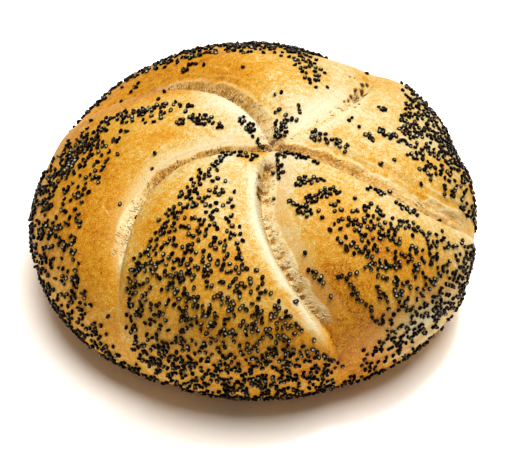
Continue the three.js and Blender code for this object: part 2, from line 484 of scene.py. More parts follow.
def petalRise(way, petal, across):
    crest = np.array([one["crest"] for one in petals])[petal]
    swell = np.array([one["swell"] for one in petals])[petal]
    rim = np.array([one["rim"] for one in petals])[petal]
    fromCrest = np.where(across < crest, (crest - across) / crest, (across - crest) / (1 - crest))
    cushion = (1 - fromCrest ** relief["archPower"]) * plateau(way, relief["swellStations"])
    lobe = (1 - fromCrest ** 2) ** 2 * plateau(way, relief["rimStations"])
    return swell * cushion + rim * lobe


def petalEdges(way, petal):
    # the angles of the two grooves that a petal lies between
    angles = np.stack([grooveAngle(groove, way) for groove in grooves])
    angles = np.concatenate([angles, angles[:1] + 2 * math.pi])
    return [np.take_along_axis(angles, petal[None] + side, 0)[0] for side in (0, 1)]


def petalWidth(way, petal):
    start, end = petalEdges(way, petal)
    return end - start


def crustAngle(way, petal, across):
    start, end = petalEdges(way, petal)
    return start + across * (end - start)


# pale creases and scratches: petal, from and to as a way and a share across, width, depth and
# paleness
scratches = [
    (0, (0.433, 0.82), (0.384, 0.81), 0.16, 0.03, 0.50),
    (1, (0.546, 0.80), (0.540, 0.87), 0.13, 0.03, 0.55),
    (1, (0.319, 0.74), (0.290, 0.82), 0.13, 0.03, 0.60),
    (2, (0.600, 0.86), (0.720, 0.93), 0.90, -0.10, 0.45),
    # a thin fold of dough low on the front right petal
    (3, (1.110, 0.23), (1.091, 0.31), 0.42, -0.30, 0.90),
    (3, (1.091, 0.31), (1.086, 0.39), 0.50, -0.36, 0.90),
    (3, (1.086, 0.39), (1.091, 0.48), 0.50, -0.36, 0.90),
    (3, (1.091, 0.48), (1.125, 0.59), 0.42, -0.30, 0.90),
]

# torn holes in the crust: petal, way, share across, radius, depth and how dark the painted shade inside it is
tornHoles = [
    (0, 0.510, 0.014, 0.36, 0.12, 1.0), (0, 0.478, 0.030, 0.44, 0.10, 1.0),
    (0, 0.445, 0.014, 0.46, 0.12, 1.0), (0, 0.415, 0.045, 0.34, 0.10, 1.0),
    (0, 0.392, 0.016, 0.46, 0.12, 1.0), (0, 0.368, 0.042, 0.32, 0.08, 1.0),
    (0, 0.463, 0.105, 0.22, 0.08, 1.0), (0, 0.478, 0.080, 0.20, 0.08, 1.0),
    (0, 0.319, 0.050, 0.20, 0.08, 1.0), (0, 0.344, 0.035, 0.20, 0.08, 1.0),
    (2, 0.105, 0.910, 0.22, 0.12, 0.9), (2, 0.144, 0.940, 0.22, 0.12, 1.0),
    (2, 0.165, 0.950, 0.24, 0.12, 1.0), (4, 0.304, 0.920, 0.20, 0.08, 1.0),
    (4, 0.330, 0.930, 0.18, 0.08, 1.0), (4, 0.440, 0.985, 0.38, 0.10, 1.0),
]
holeShape = {
    "drawnOut": 0.5,             # share by which the distance away from the hub counts less
    "wander": 0.7,               # how uneven the outline is, as a share of the radius
    "wanderSize": 0.6,
    "pit": (0.85, 1.25),         # radii between which the painted shade at the dark bottom ends
    "browned": (1.2, 2.6),       # radii between which the browned dough around it ends
    "brown": 0.66,
    "tornShare": 0.9,
}


def plainPoint(way, petal, across):
    # a point of the plain dome, before the relief
    angle = crustAngle(way, petal, across)
    radius, height = domePoint(way)
    shift = np.clip(1 - way ** 2, 0, 1)    # the hub lies off the axis, the rim doesn't
    x = dome["hubOffset"][0] * shift + radius * np.cos(angle)
    y = dome["hubOffset"][1] * shift + radius * np.sin(angle)
    return np.stack([x, y, height], axis=-1)


def lineDistance(place, petal, start, end):
    # millimetres from a straight line between two places on one petal
    ends = np.array([start, end], dtype=float)
    first, last = plainPoint(ends[:, 0], np.array([petal, petal]), ends[:, 1])
    line = last - first
    share = np.clip((place - first) @ line / (line @ line), 0, 1)
    return np.linalg.norm(place - first - share[..., None] * line, axis=-1)


maskNames = ("torn", "gap", "rough", "paintedShadeUnderLip", "edge", "toast", "flour", "tan", "scratch", "pit")


def grooveRise(way, angle, looks):
    # how far the torn dough stands up less how deep the grooves are, and their share of the looks
    radius = domePoint(way)[0]
    hubDepth = relief["hubShare"] + (1 - relief["hubShare"]) * smoothStep(way, 0, relief["hubReach"])
    nearest = np.full(way.shape, 1e9)
    rise, sunk = 0, 0
    for number, groove in enumerate(grooves):
        turn = wrapAngle(angle - grooveAngle(groove, way))
        share = grooveRun(groove, way)[1]
        aside = turn * radius * share * groove["lip"]
        along = np.interp(way, stations, groove["lengths"])
        depth = groove["depth"] * hubDepth * plateau(way, groove["runs"])
        sunk = sunk + (depth * grooveSection(groove, aside)) ** relief["blendPower"]
        # measured straight from the groove's line near the hub, so that the bands meet there
        away = np.abs(turn)
        straight = np.sinc(np.minimum(away / math.pi, 0.5))
        straight = straight + relief["pastHub"] * smoothStep(away, math.pi / 2, math.pi)
        tornRise, tornLooks, fine, coarse = tornDough(number, groove, way, aside * straight, along)
        rise = rise + tornRise * smoothStep(way, *relief["hubTorn"])
        for name, mask in tornLooks.items():
            looks[name] = np.maximum(looks[name], mask)
        closer = np.abs(aside) < nearest
        nearest = np.where(closer, np.abs(aside), nearest)
        looks["fine"] = np.where(closer, fine, looks["fine"])
        looks["coarse"] = np.where(closer, coarse, looks["coarse"])
    toast, fading, gone = relief["hubToast"]
    atHub = looks["torn"] * (1 - smoothStep(way, fading, gone))
    looks["toast"] = np.maximum(looks["toast"], toast * atHub)
    return rise - sunk ** (1 / relief["blendPower"])


def dentDepth(way, angle):
    depth = 0
    for middle, most, reach in relief["dents"]:
        depth = depth + most * hump(np.degrees(wrapAngle(angle - math.radians(middle))), 0, reach)
    return depth * plateau(way, relief["dentStations"])


def scratchRise(place, looks):
    rise = 0
    for petal, start, end, width, depth, paleness in scratches:
        line = hump(lineDistance(place, petal, start, end), 0, width)
        rise = rise - depth * line
        looks["scratch"] = np.maximum(looks["scratch"], paleness * line)
    return rise


def holeRise(place, looks):
    rise = 0
    wander = lumps(130, *np.moveaxis(place / holeShape["wanderSize"], -1, 0))
    for petal, way, across, size, depth, dark in tornHoles:
        ends = plainPoint(np.array([way, way + 0.01]), np.array([petal] * 2), np.array([across] * 2))
        outwards = (ends[1] - ends[0]) / np.linalg.norm(ends[1] - ends[0])
        offset = place - ends[0]
        offset = offset - holeShape["drawnOut"] * (offset @ outwards)[..., None] * outwards
        distance = np.linalg.norm(offset, axis=-1) / size + holeShape["wander"] * wander
        pit = 1 - smoothStep(distance, *holeShape["pit"])
        browned = 1 - smoothStep(distance, *holeShape["browned"])
        rise = rise - depth * pit
        # painted shade at the bottom of the hole
        looks["pit"] = np.maximum(looks["pit"], dark * pit)
        looks["toast"] = np.maximum(looks["toast"], dark * holeShape["brown"] * browned)
        looks["torn"] = np.maximum(looks["torn"], holeShape["tornShare"] * browned)
        for name in ("edge", "flour"):
            looks[name] = looks[name] * (1 - browned)
    return rise


def crustPoints(way, petal, across):
    # points of the crust in millimetres, and the masks that its finish is mixed by
    way, petal, across = np.broadcast_arrays(way, petal, across)
    angle = crustAngle(way, petal, across)
    place = plainPoint(way, petal, across)
    looks = {name: np.zeros(way.shape) for name in maskNames + ("fine", "coarse")}
    rise = petalRise(way, petal, across) + grooveRise(way, angle, looks) - dentDepth(way, angle)
    rise = rise + scratchRise(place, looks) + holeRise(place, looks)
    for number, (size, amount) in enumerate(relief["waves"]):
        rise = rise + amount * lumps(10 + number, *np.moveaxis(place / size, -1, 0))
    move = rise * (1 - smoothStep(way, dome["flattening"], dome["baseEdge"]))
    out, up = domeSlope(way)
    normal = np.stack([-up * np.cos(angle), -up * np.sin(angle), out], axis=-1)
    normal = normal / np.hypot(out, up)[..., None]
    return place + normal * move[..., None], looks


def addMesh(name, vertices, faces):
    mesh = bpy.data.meshes.new(name)
    mesh.from_pydata((np.asarray(vertices) * metresPerMillimetre).tolist(), [], faces)
    mesh.polygons.foreach_set("use_smooth", [True] * len(mesh.polygons))
    thing = bpy.data.objects.new(name, mesh)
    bpy.context.scene.collection.objects.link(thing)
    return thing


def addCopies(name, shapes, pattern):
    # one mesh of many small shapes that all have the same faces
    starts = range(0, len(shapes) * len(shapes[0]), len(shapes[0]))
    faces = [tuple(start + index for index in face) for start in starts for face in pattern]
    return addMesh(name, np.concatenate(shapes), faces)


def addMark(thing, name, values):
    layer = thing.data.attributes.new(name, "FLOAT", "POINT")
    layer.data.foreach_set("value", np.asarray(values, dtype=np.float32))


crustMesh = {
    "columnsPerPetal": 96,
    "squeeze": 0.45,         # gathers the columns at the grooves
    "topRings": 156,
    "ringSqueeze": 0.35,     # gathers the rings halfway down the top
    "sideRings": 26,
    "baseRings": 5,
}


def crustColumns():
    even = np.arange(crustMesh["columnsPerPetal"]) / crustMesh["columnsPerPetal"]
    gathered = even - crustMesh["squeeze"] * np.sin(2 * math.pi * even) / (2 * math.pi)
    return np.repeat(np.arange(len(petals)), len(even)), np.tile(gathered, len(petals))


def crustRings():
    top = np.linspace(0, 1, crustMesh["topRings"] + 1)[1:]
    top = top + crustMesh["ringSqueeze"] * np.sin(2 * math.pi * top) / (2 * math.pi)
    side = np.linspace(1, dome["baseEdge"], crustMesh["sideRings"] + 1)[1:]
    base = np.linspace(dome["baseEdge"], dome["baseMiddle"], crustMesh["baseRings"] + 1)[1:-1]
    return np.concatenate([top, side, base])[:, None]


def makeCrust():
    # rings of points, and one point more at the hub and in the middle of the base
    places = np.broadcast_arrays(crustRings(), *crustColumns())
    points, looks = crustPoints(*places)
    hub, hubLooks = crustPoints(np.array([0.0]), np.array([0]), np.array([0.0]))
    vertices = np.concatenate([points.reshape(-1, 3), hub, [[0, 0, 0]]])
    rings, columns = points.shape[:2]
    ring = np.arange(rings - 1)[:, None] * columns
    column = np.arange(columns)
    after = (column + 1) % columns
    quads = np.stack([ring + column, ring + columns + column, ring + columns + after, ring + after], axis=-1)
    hubIndex, baseIndex, lastRing = rings * columns, rings * columns + 1, (rings - 1) * columns
    faces = quads.reshape(-1, 4).tolist()
    faces += [(hubIndex, j, (j + 1) % columns) for j in range(columns)]
    faces += [(baseIndex, lastRing + (j + 1) % columns, lastRing + j) for j in range(columns)]
    marks = {name: np.concatenate([mask.ravel(), hubLooks[name], [0]]) for name, mask in looks.items()}
    for name, values, ends in zip(("way", "petal", "across"), places, ((0, 2), (0, 0), (0, 0))):
        marks[name] = np.append(values, ends)
    return addMesh("crust", vertices, faces), vertices, marks


crust, crustVertices, crustMarks = makeCrust()
print("crust:", len(crust.data.polygons), "faces")

print("torn fibres in the grooves")

tearing = {
    "random": 9,
    "sides": 5,
    "steps": 7,
    "reach": (0.5, 1.2),           # least and most of the length that its groove gives a fibre
    "thickness": (0.05, 0.11),     # radius in the middle of a fibre, in millimetres
    "lean": 0.90,                  # how far a fibre strays sideways, as a share of its length
    "curl": 0.17,
    "sunk": 0.02,
    "inside": (0.02, 0.04),        # how far from the ends of the torn dough the fibres keep, as ways
}


def unit(vectors):
    return vectors / np.linalg.norm(vectors, axis=-1, keepdims=True)


def besideGroove(number, way, aside):
    # the petal and the share across it at a distance from a groove's line
    groove = grooves[number]
    turn = aside * groove["lip"] / (domePoint(way)[0] * grooveRun(groove, way)[1])
    petal = np.where(turn >= 0, number, (number - 1) % len(petals))
    width = petalWidth(way, petal)
    return petal, np.where(turn >= 0, turn / width, 1 + turn / width)


def crustFrame(way, petal, across):
    # points on the crust with the crust's normal there
    step = 0.004
    here = crustPoints(way, petal, across)[0]
    outwards = crustPoints(way + step, petal, across)[0] - here
    sideways = crustPoints(way, petal, across + step)[0] - here
    return here, unit(np.cross(outwards, sideways))


def sweepStrand(spine, radii, sides):
    # a tube along a spine that closes to a point at both ends
    ahead = unit(np.gradient(spine, axis=0))
    beside = unit(np.cross(ahead, (0.3, 0.2, 1.0)))
    above = np.cross(beside, ahead)
    turn = (2 * math.pi * np.arange(sides) / sides)[None, :, None]
    ring = np.cos(turn) * beside[1:-1, None] + np.sin(turn) * above[1:-1, None]
    body = spine[1:-1, None] + ring * radii[1:-1, None, None]
    return np.concatenate([spine[:1], body.reshape(-1, 3), spine[-1:]])


def closedFaces(rings, around):
    # faces of a round shape: a point, rings of points and a last point
    last = 1 + rings * around
    faces = []
    for side in range(around):
        after = (side + 1) % around
        faces.append((0, 1 + side, 1 + after))
        faces.append((last, last - around + after, last - around + side))
        for start in range(1, last - around, around):
            faces.append((start + side, start + around + side, start + around + after, start + after))
    return faces


def makeStrands():
    random = np.random.default_rng(tearing["random"])
    steps, sides = tearing["steps"], tearing["sides"]
    share = np.linspace(0, 1, steps)[None]
    bow = np.sin(math.pi * share)
    slim = np.sin(math.pi * np.clip(share, 0.08, 0.92)) ** 0.6
    shapes, tones = [], []
    for number, groove in enumerate(grooves):
        count, length, lift = groove["strands"]
        begin, end = groove["tear"][0] + tearing["inside"][0], groove["tear"][3] - tearing["inside"][1]
        way = random.uniform(begin, end, (count, 1))
        reach = length * random.uniform(*tearing["reach"], (count, 1))
        stray = reach * random.normal(scale=tearing["lean"], size=(count, 1))
        run = grooveRun(groove, way)[0]
        if groove["grain"] == "across":
            aside = random.uniform(-0.8 * groove["band"], 0.9, (count, 1)) - reach * share
            ways = way + (stray * share) / run
        else:
            aside = random.uniform(-groove["band"], 0.4, (count, 1)) + 0.25 * stray * share
            ways = way + reach * (share - 0.5) / run
        ways = np.maximum(ways, 0.01)
        point, normal = crustFrame(ways, *besideGroove(number, ways, aside))
        arch = lift * random.uniform(0.1, 1.0, (count, 1)) * bow - tearing["sunk"]
        wave = tearing["curl"] * random.normal(size=(count, steps, 3)) * bow[..., None]
        spines = point + normal * arch[..., None] + wave
        radii = random.uniform(*tearing["thickness"], (count, 1)) * slim
        shapes += [sweepStrand(spine, radius, sides) for spine, radius in zip(spines, radii)]
        tones.append(0.55 * toastAt(groove, way[:, 0]) - 0.06 + random.normal(scale=0.14, size=count))
    strands = addCopies("tornCrumb", shapes, closedFaces(steps - 2, sides))
    addMark(strands, "tone", np.repeat(np.clip(np.concatenate(tones), 0, 1), len(shapes[0])))
    return strands


crumbling = {
    "random": 12,
    "sizes": (0.08, 0.19),         # radius in millimetres
    "uneven": 0.30,
    "lift": 0.03,
    "places": [                    # groove, ways, distances from its line, count and tone
        (0, (0.06, 0.42), (-1.2, 1.6), 60, 0.10),
        (1, (0.05, 0.30), (0.3, 2.0), 120, 0.05),
        (2, (0.02, 0.36), (0.5, 1.5), 120, 0.08),
        (2, (0.38, 0.58), (-1.6, 0.9), 240, 0.16),
        (3, (0.03, 0.24), (-1.6, 1.6), 60, 0.14),
        (3, (0.20, 0.68), (0.4, 1.4), 90, 0.04),
        (4, (0.04, 0.40), (0.6, 1.8), 40, 0.15),
    ],
}


def makeCrumbs():
    # small uneven lumps of dough along the torn edges
    random = np.random.default_rng(crumbling["random"])
    ball = bmesh.new()
    bmesh.ops.create_icosphere(ball, subdivisions=1, radius=1.0)
    shape = np.array([vertex.co for vertex in ball.verts])
    pattern = [tuple(vertex.index for vertex in face.verts) for face in ball.faces]
    ball.free()
    most = crumbling["uneven"]
    shapes, tones = [], []
    for number, ways, asides, count, tone in crumbling["places"]:
        way = random.uniform(*ways, count)
        point, normal = crustFrame(way, *besideGroove(number, way, random.uniform(*asides, count)))
        size = random.uniform(*crumbling["sizes"], (count, 1, 1))
        lump = size * shape * (1 + random.uniform(-most, most, (count, len(shape), 3)))
        shapes += list((point + crumbling["lift"] * normal)[:, None] + lump)
        tones.append(tone + random.normal(scale=0.15, size=count))
    crumbs = addCopies("looseCrumb", shapes, pattern)
    addMark(crumbs, "tone", np.repeat(np.clip(np.concatenate(tones), 0, 1), len(shape)))
    return crumbs


strands = makeStrands()
crumbs = makeCrumbs()
print("fibres:", len(strands.data.polygons), "faces, crumbs:", len(crumbs.data.polygons), "faces")

print("poppy seeds")

# where the seeds lie on each petal: at each way, the two shares across the petal that the seeded
# patch runs between, and how thick the seeds lie there, from 0 to 1
seedPatches = [
    [(0.28, 0.26, 0.36, 0.60), (0.40, 0.26, 0.50, 0.70), (0.50, 0.34, 0.74, 0.75), (0.60, 0.24, 0.82, 0.80),
     (0.80, 0.14, 0.88, 0.70), (1.00, 0.06, 0.92, 0.50), (1.30, 0.04, 0.97, 0.30)],
    [(0.28, 0.34, 0.42, 0.50), (0.40, 0.33, 0.50, 0.50), (0.50, 0.27, 0.66, 0.50), (0.60, 0.26, 0.72, 0.42),
     (0.80, 0.24, 0.84, 0.56), (1.00, 0.14, 0.94, 0.70), (1.30, 0.04, 0.98, 0.40)],
    [(0.19, 0.30, 0.76, 0.30), (0.28, 0.34, 0.76, 0.62), (0.40, 0.30, 0.80, 0.75), (0.50, 0.20, 0.84, 0.80),
     (0.60, 0.12, 0.86, 0.92), (0.80, 0.08, 0.92, 0.90), (1.00, 0.06, 1.00, 0.90), (1.30, 0.04, 1.00, 0.80)],
    [(0.26, 0.42, 0.70, 0.65), (0.40, 0.38, 0.78, 0.72), (0.50, 0.36, 0.84, 0.85), (0.60, 0.36, 0.86, 0.72),
     (0.80, 0.22, 0.90, 0.62), (1.00, 0.08, 0.96, 0.40), (1.30, 0.02, 0.90, 0.25)],
    [(0.34, 0.40, 0.52, 0.30), (0.42, 0.28, 0.66, 0.80), (0.50, 0.20, 0.76, 0.80), (0.60, 0.16, 0.84, 0.85),
     (0.80, 0.08, 0.88, 0.70), (1.00, 0.04, 0.94, 0.50), (1.30, 0.04, 0.96, 0.30)],
]
# strings and clusters of seeds: petal, from and to as a way and a share across, and half the width
# in millimetres
seedStrings = [
    (0, (0.070, 0.62), (0.115, 0.60), 1.1), (0, (0.120, 0.61), (0.125, 0.56), 0.6),
    (0, (0.110, 0.38), (0.110, 0.47), 0.6), (0, (0.154, 0.33), (0.174, 0.37), 0.5),
    (0, (0.144, 0.67), (0.149, 0.68), 0.5), (0, (0.214, 0.62), (0.214, 0.63), 0.5),
    (0, (0.518, 0.86), (0.513, 0.83), 0.8), (0, (0.672, 0.91), (0.677, 0.93), 0.5),
    (1, (0.139, 0.26), (0.090, 0.36), 0.8), (1, (0.090, 0.38), (0.080, 0.41), 0.6),
    (1, (0.055, 0.48), (0.045, 0.55), 0.5), (1, (0.254, 0.47), (0.214, 0.48), 1.1),
    (1, (0.194, 0.50), (0.174, 0.51), 0.5), (1, (0.314, 0.33), (0.284, 0.33), 0.5),
    (1, (0.289, 0.52), (0.274, 0.51), 0.8), (1, (0.339, 0.30), (0.408, 0.34), 0.6),
    (1, (0.408, 0.34), (0.508, 0.32), 0.9), (1, (0.508, 0.32), (0.588, 0.38), 1.2),
    (1, (0.588, 0.38), (0.717, 0.43), 1.7),
    (2, (0.070, 0.56), (0.125, 0.12), 0.8), (2, (0.130, 0.12), (0.194, 0.38), 0.7),
    (2, (0.194, 0.38), (0.234, 0.36), 0.9), (2, (0.234, 0.36), (0.289, 0.37), 1.2),
    (3, (0.035, 0.34), (0.090, 0.26), 0.6), (3, (0.035, 0.54), (0.065, 0.86), 0.6),
    (3, (0.065, 0.86), (0.085, 0.84), 0.5), (3, (0.115, 0.85), (0.118, 0.84), 0.5),
    (3, (0.144, 0.47), (0.174, 0.65), 0.9), (3, (0.219, 0.44), (0.234, 0.65), 1.0),
    (3, (0.224, 0.29), (0.274, 0.36), 0.7), (3, (0.453, 0.13), (0.533, 0.15), 0.5),
    (3, (0.533, 0.23), (0.533, 0.31), 0.5), (3, (0.583, 0.24), (0.787, 0.23), 0.6),
    (3, (0.300, 0.88), (0.340, 0.91), 0.7), (3, (0.400, 0.88), (0.470, 0.90), 0.6),
    (4, (0.110, 0.81), (0.130, 0.65), 0.9), (4, (0.135, 0.61), (0.149, 0.53), 0.8),
    (4, (0.154, 0.51), (0.184, 0.38), 0.7), (4, (0.259, 0.53), (0.274, 0.48), 0.6),
    (4, (0.319, 0.57), (0.339, 0.53), 0.9), (4, (0.379, 0.80), (0.394, 0.78), 0.6),
]

seedTopping = {
    "random": 4,
    "tries": 160000,
    "perSquareMillimetre": 1.10,    # seeds thrown where they lie thickest; overlapping ones are left out
    "stray": 0.010,          # thickness outside the patches
    "stringThickness": 3.0,
    "softWay": 0.03,
    "softAcross": 0.035,
    "gap": 0.66,             # least distance between two seeds, in millimetres
    "clumpSize": 2.2,        # of the thick and thin places, in millimetres
    "clumping": 1.0,
    "firstWay": 0.02,
    "lastWay": 1.42,
    "fading": 0.2,           # ways over which the topping ends
    "kinds": [               # name, share of all seeds, colours of the coat, colours of the hollow: a paler tint with a painted highlight
        ("blackSeeds", 0.29, ((0, 0, 0), (4, 2, 2)), ((10, 6, 5), (70, 60, 54))),
        ("slateSeeds", 0.28, ((0, 0, 0), (10, 8, 8)), ((110, 104, 92), (250, 240, 215))),
        ("greySeeds", 0.25, ((8, 6, 3), (60, 54, 38)), ((120, 108, 76), (220, 206, 160))),
        ("rustySeeds", 0.18, ((8, 2, 1), (52, 24, 10)), ((96, 52, 30), (230, 176, 120))),
    ],
}

# one seed, with its length and how deep it is sunk in millimetres, and its form in shares of that
# length
oneSeed = {
    "length": (0.94, 1.20),
    "sunk": 0.10,
    "tilt": 0.45,            # how far it leans away from the crust's normal
    "wobble": 0.07,
    "width": 0.84,
    "thickness": 0.70,
    "taper": 0.12,
    "bend": 0.10,
    "dent": (0.12, 0.16),            # depth and reach of the kidney's dent
    "hollow": (0.13, 0.26, 0.24),    # depth, length and width of the hollow on top
    "around": 12,
    "rings": 7,
}


def seedThickness(way, petal, across):
    # how thick the seeds lie at a place, from 0 to 1
    thick = np.full(np.shape(way), seedTopping["stray"])
    softWay, soft, last = (seedTopping[name] for name in ("softWay", "softAcross", "lastWay"))
    for number, patch in enumerate(seedPatches):
        ways, starts, ends, levels = np.transpose(patch)
        start, end = np.interp(way, ways, starts), np.interp(way, ways, ends)
        inside = smoothStep(across, start - soft, start + soft)
        inside = inside * (1 - smoothStep(across, end - soft, end + soft))
        inside = inside * smoothStep(way, ways[0] - softWay, ways[0] + softWay)
        patched = np.maximum(thick, np.interp(way, ways, levels) * inside)
        thick = np.where(petal == number, patched, thick)
    place = plainPoint(way, petal, across)
    clumpPlace = place.T / seedTopping["clumpSize"]
    clump = lumps(30, *clumpPlace) + 0.5 * lumps(31, *(2 * clumpPlace))
    thick = thick * np.clip(1 + seedTopping["clumping"] * clump, 0.1, 3)
    for number, start, end, width, _, paleness in scratches:
        bare = hump(lineDistance(place, number, start, end), 0, 2 * width) * paleness
        thick = np.where(petal == number, thick * (1 - bare), thick)
    for number, start, end, halfWidth in seedStrings:
        near = 1 - smoothStep(lineDistance(place, number, start, end), 0.8 * halfWidth, 1.5 * halfWidth)
        string = np.maximum(thick, seedTopping["stringThickness"] * near)
        thick = np.where(petal == number, string, thick)
    return thick * (1 - smoothStep(way, last - seedTopping["fading"], last))


def strewSeeds():
    random = np.random.default_rng(seedTopping["random"])
    tries, first, last = seedTopping["tries"], seedTopping["firstWay"], seedTopping["lastWay"]
    way = random.uniform(first, last, tries)
    petal = random.integers(0, len(petals), tries)
    across = random.uniform(0, 1, tries)
    area = domePoint(way)[0] * np.hypot(*domeSlope(way)) * petalWidth(way, petal)
    area = area * len(petals) * (last - first)
    wanted = seedThickness(way, petal, across) * area / tries * seedTopping["perSquareMillimetre"]
    keep = random.uniform(0, 1, tries) < wanted
    point, normal = crustFrame(way[keep], petal[keep], across[keep])
    chosen = keepApart(point, seedTopping["gap"])
    return point[chosen], normal[chosen], random


def keepApart(points, gap):
    # the points that keep a distance from every earlier one
    cells = {}
    chosen = []
    for index, point in enumerate(points):
        cell = tuple(np.floor(point / gap).astype(int))
        close = False
        for step in np.ndindex(3, 3, 3):
            for other in cells.get((cell[0] + step[0] - 1, cell[1] + step[1] - 1, cell[2] + step[2] - 1), ()):
                if np.sum((points[other] - point) ** 2) < gap * gap:
                    close = True
        if not close:
            cells.setdefault(cell, []).append(index)
            chosen.append(index)
    return np.array(chosen)


def seedShape():
    # a kidney one unit long: a ball drawn out along x, dented in one long side and hollow on top
    dentDepth, dentReach = oneSeed["dent"]
    hollowDepth, hollowLength, hollowWidth = oneSeed["hollow"]
    vertices, hollow = [(0.5, 0, 0)], [0]
    for ring in range(1, oneSeed["rings"]):
        lean = math.pi * ring / oneSeed["rings"]
        for side in range(oneSeed["around"]):
            turn = 2 * math.pi * side / oneSeed["around"]
            x = 0.5 * math.cos(lean)
            y = 0.5 * oneSeed["width"] * math.sin(lean) * math.cos(turn)
            z = 0.5 * oneSeed["thickness"] * math.sin(lean) * math.sin(turn)
            dent = math.exp(-(x / dentReach) ** 2) * max(math.cos(turn), 0) ** 2
            bowl = math.exp(-(x / hollowLength) ** 2 - (y / hollowWidth) ** 2) if z > 0 else 0
            bentY = y - dentDepth * dent + oneSeed["bend"] * (0.25 - x * x)
            vertices.append((x, bentY, z * (1 - oneSeed["taper"] * x) - hollowDepth * bowl))
            hollow.append(bowl)
    return np.array(vertices + [(-0.5, 0, 0)]), hollow + [0]


def makeSeeds():
    points, normals, random = strewSeeds()
    count = len(points)
    length = random.uniform(*oneSeed["length"], count)
    heading = random.normal(size=(count, 3))
    up = unit(normals + random.normal(scale=oneSeed["tilt"], size=(count, 3)))
    ahead = unit(np.cross(up, heading))
    axes = np.stack([ahead, np.cross(up, ahead), up], axis=1)
    middle = points + normals * (length * oneSeed["thickness"] / 2 - oneSeed["sunk"])[:, None]
    shares = np.cumsum([kind[1] for kind in seedTopping["kinds"]])
    kindOf = np.searchsorted(shares, random.uniform(0, shares[-1], count))
    shade = random.uniform(0, 1, count)
    shape, hollow = seedShape()
    pattern = closedFaces(oneSeed["rings"] - 1, oneSeed["around"])
    pieces = []
    for number, (name, _, coats, hollowTintsAndHighlights) in enumerate(seedTopping["kinds"]):
        members = np.flatnonzero(kindOf == number)
        shapes = []
        for one in members:
            wobble = 1 + random.uniform(-oneSeed["wobble"], oneSeed["wobble"], 3)
            shapes.append(middle[one] + (shape * wobble * length[one]) @ axes[one])
        piece = addCopies(name, shapes, pattern)
        addMark(piece, "seedShade", np.repeat(shade[members], len(shape)))
        addMark(piece, "hollow", np.tile(hollow, len(members)))
        pieces.append((piece, coats, hollowTintsAndHighlights))
        print(name, len(members))
    return pieces, points


seedPieces, seedPoints = makeSeeds()

print("finishes")


# how brown each petal is, 0 to 1, at a few ways out: beside the groove that it starts at, along its
# middle and beside the groove that it ends at. patches are browner or paler spots: petal, way, share
# across, reach along the way and across, and amount.
browning = {
    "ways": (0.05, 0.12, 0.20, 0.35, 0.50, 0.70, 0.90, 1.10, 1.60),
    "anchors": (0.10, 0.50, 0.90),
    "petals": [
        {"start": (0.14, 0.08, 0.10, 0.20, 0.26, 0.26, 0.32, 0.30, 0.50),
         "middle": (0.44, 0.14, 0.20, 0.34, 0.48, 0.52, 0.48, 0.38, 0.50),
         "end": (0.46, 0.20, 0.40, 0.62, 0.62, 0.66, 0.56, 0.40, 0.50)},
        {"start": (0.02, 0.00, 0.08, 0.34, 0.74, 0.62, 0.48, 0.46, 0.60),
         "middle": (0.26, 0.08, 0.18, 0.42, 0.54, 0.56, 0.50, 0.42, 0.60),
         "end": (0.46, 0.26, 0.24, 0.44, 0.60, 0.60, 0.48, 0.38, 0.60)},
        {"start": (0.60, 0.10, 0.26, 0.37, 0.44, 0.44, 0.36, 0.38, 0.62),
         "middle": (0.58, 0.10, 0.26, 0.56, 0.58, 0.52, 0.48, 0.52, 0.68),
         "end": (0.14, 0.06, 0.22, 0.32, 0.44, 0.56, 0.62, 0.54, 0.68)},
        {"start": (0.05, 0.20, 0.30, 0.46, 0.66, 0.74, 0.80, 0.72, 0.66),
         "middle": (0.06, 0.12, 0.36, 0.62, 0.68, 0.60, 0.46, 0.30, 0.58),
         "end": (0.08, 0.18, 0.24, 0.26, 0.26, 0.20, 0.14, 0.18, 0.58)},
        {"start": (0.74, 0.60, 0.50, 0.46, 0.46, 0.42, 0.34, 0.32, 0.55),
         "middle": (0.54, 0.34, 0.30, 0.30, 0.26, 0.22, 0.24, 0.28, 0.55),
         "end": (0.22, 0.08, 0.08, 0.22, 0.32, 0.34, 0.34, 0.34, 0.55)},
    ],
    "patches": [
        (0, 0.535, 0.035, 0.030, 0.025, 0.36),
        (1, 0.31, 0.64, 0.06, 0.09, 0.15), (1, 0.50, 0.62, 0.05, 0.10, 0.12),
        (1, 0.46, 0.30, 0.16, 0.11, -0.16), (1, 0.60, 0.72, 0.14, 0.12, 0.10),
        (2, 0.45, 0.07, 0.16, 0.07, 0.04), (2, 0.40, 0.20, 0.10, 0.06, 0.14),
        (2, 0.88, 0.55, 0.06, 0.14, 0.12), (2, 0.30, 0.60, 0.06, 0.14, -0.20),
        (2, 0.72, 0.47, 0.02, 0.02, 0.30), (2, 0.48, 0.72, 0.08, 0.08, 0.16),
        (3, 0.52, 0.55, 0.10, 0.10, 0.10), (3, 0.55, 0.20, 0.12, 0.10, 0.10),
        (3, 0.40, 0.70, 0.14, 0.10, -0.16),
    ],
    "drift": [(9.0, 0.08), (3.5, 0.08), (1.4, 0.05)],      # size and strength of the uneven patches
    "paintedRimFill": (0.62, 1.02),                                   # ways between which painted fill light lifts the crust, to offset the shade low on the roll
    "greyRim": (3, 0.93, 0.42, 0.14, 0.22),                # petal, way, share across and reaches
    "seedShadowRing": (0.35, 0.40),                              # start and width of the painted seed shadow and browning around a seed
}


def bakeLevel(way, across, petal):
    levels = []
    for position in ("start", "middle", "end"):
        curves = [np.interp(way, browning["ways"], one[position]) for one in browning["petals"]]
        levels.append(np.choose(petal, curves))
    first, middle, last = browning["anchors"]
    toMiddle = smoothStep(across, first, middle)
    toLast = smoothStep(across, middle, last)
    return levels[0] * (1 - toMiddle) + levels[1] * (toMiddle - toLast) + levels[2] * toLast


